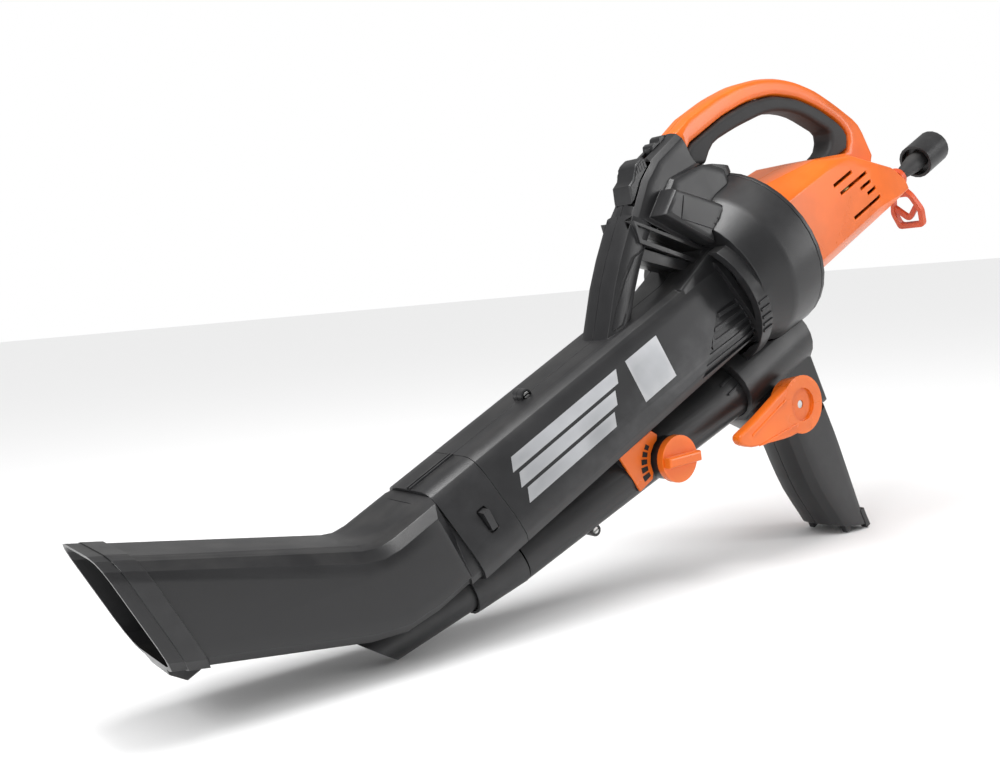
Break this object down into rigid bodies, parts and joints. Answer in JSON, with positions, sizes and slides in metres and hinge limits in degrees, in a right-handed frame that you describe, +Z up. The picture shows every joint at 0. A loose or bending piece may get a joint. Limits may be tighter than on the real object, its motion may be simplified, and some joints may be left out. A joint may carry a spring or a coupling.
{
  "type": "electric garden leaf blower and vacuum",
  "caption": "Corded garden blower, vacuum and mulcher with a long intake tube, round fan housing, loop handle, speed dial, mode lever and bag outlet leg.",
  "frame": {"origin": "on the floor, under the middle of the machine's length and on its centre plane", "axes": "+Z up, +X towards the motor and the plug, -Y on the side with the speed dial and the mode lever"},
  "size_m": [1.048, 0.182, 0.4967],
  "materials": {
    "black_plastic": "charcoal black nylon, satin with a fine grain",
    "orange_plastic": "bright orange plastic, semi-gloss",
    "soft_rubber": "soft matt black rubber",
    "steel": "plain machined steel",
    "copper_winding": "copper windings on a laminated core",
    "brass": "plain brass",
    "circuit_board": "green board potted in resin"
  },
  "bodies": {
    "machine": {"vacuum_nozzle": "black_plastic", "blow_nozzle": "black_plastic", "nozzle_coupler": "black_plastic", "main_tube_left": "black_plastic", "main_tube_right": "black_plastic", "head_shell_left": "black_plastic", "head_shell_right": "black_plastic", "fan_housing_front": "black_plastic", "fan_housing_back": "black_plastic", "elbow_housing": "black_plastic", "bag_duct_left": "black_plastic", "bag_duct_right": "black_plastic", "switch_module": "black_plastic", "plug_body": "black_plastic", "motor_housing_left": "orange_plastic", "motor_housing_right": "orange_plastic", "speed_scale_plate": "orange_plastic", "handle_grip": "soft_rubber", "cord_relief": "soft_rubber", "power_lead": "soft_rubber", "plug_boot": "soft_rubber", "tube_screw_upper": "steel", "tube_screw_lower": "steel", "front_bearing": "steel", "rear_bearing": "steel", "field_stator": "steel", "brush_holder_left": "brass", "brush_holder_right": "brass", "speed_control_unit": "circuit_board"},
    "rotor": {"impeller": "steel", "motor_shaft": "steel", "armature": "copper_winding", "commutator": "brass", "cooling_fan": "orange_plastic"},
    "mode_selector": {"mode_lever": "orange_plastic", "flap_shaft": "steel", "diverter_flap": "black_plastic"},
    "dial": {"speed_dial": "orange_plastic", "speed_dial_shaft": "steel"},
    "switch_slide": {"power_switch": "black_plastic"},
    "latch_button": {"release_button": "black_plastic"},
    "hook": {"cord_hook": "orange_plastic"}
  },
  "joints": [
    {"name": "rotor_spin", "type": "hinge", "parent": "machine", "child": "rotor", "pos_m": [0.15463, 0, 0.30622], "axis": [0.8949, 0, 0.4462], "continuous": true},
    {"name": "mode_turn", "type": "hinge", "parent": "machine", "child": "mode_selector", "pos_m": [0.17772, 0, 0.15906], "axis": [0, -1, 0], "range_deg": [0, 80]},
    {"name": "speed_turn", "type": "hinge", "parent": "machine", "child": "dial", "pos_m": [0.01847, -0.04, 0.1266], "axis": [0, -1, 0], "range_deg": [-75, 75]},
    {"name": "switch_travel", "type": "slide", "parent": "machine", "child": "switch_slide", "axis": [0.8164, 0, 0.5775], "range_m": [0, 0.008]},
    {"name": "latch_press", "type": "slide", "parent": "machine", "child": "latch_button", "axis": [0.8939, 0, -0.4482], "range_m": [0, 0.0035], "stiffness_N_per_m": 1500, "springref_m": -0.003},
    {"name": "hook_swing", "type": "hinge", "parent": "machine", "child": "hook", "pos_m": [0.43915, 0, 0.39109], "axis": [0.8949, 0, 0.4462], "range_deg": [-50, 50]}
  ]
}
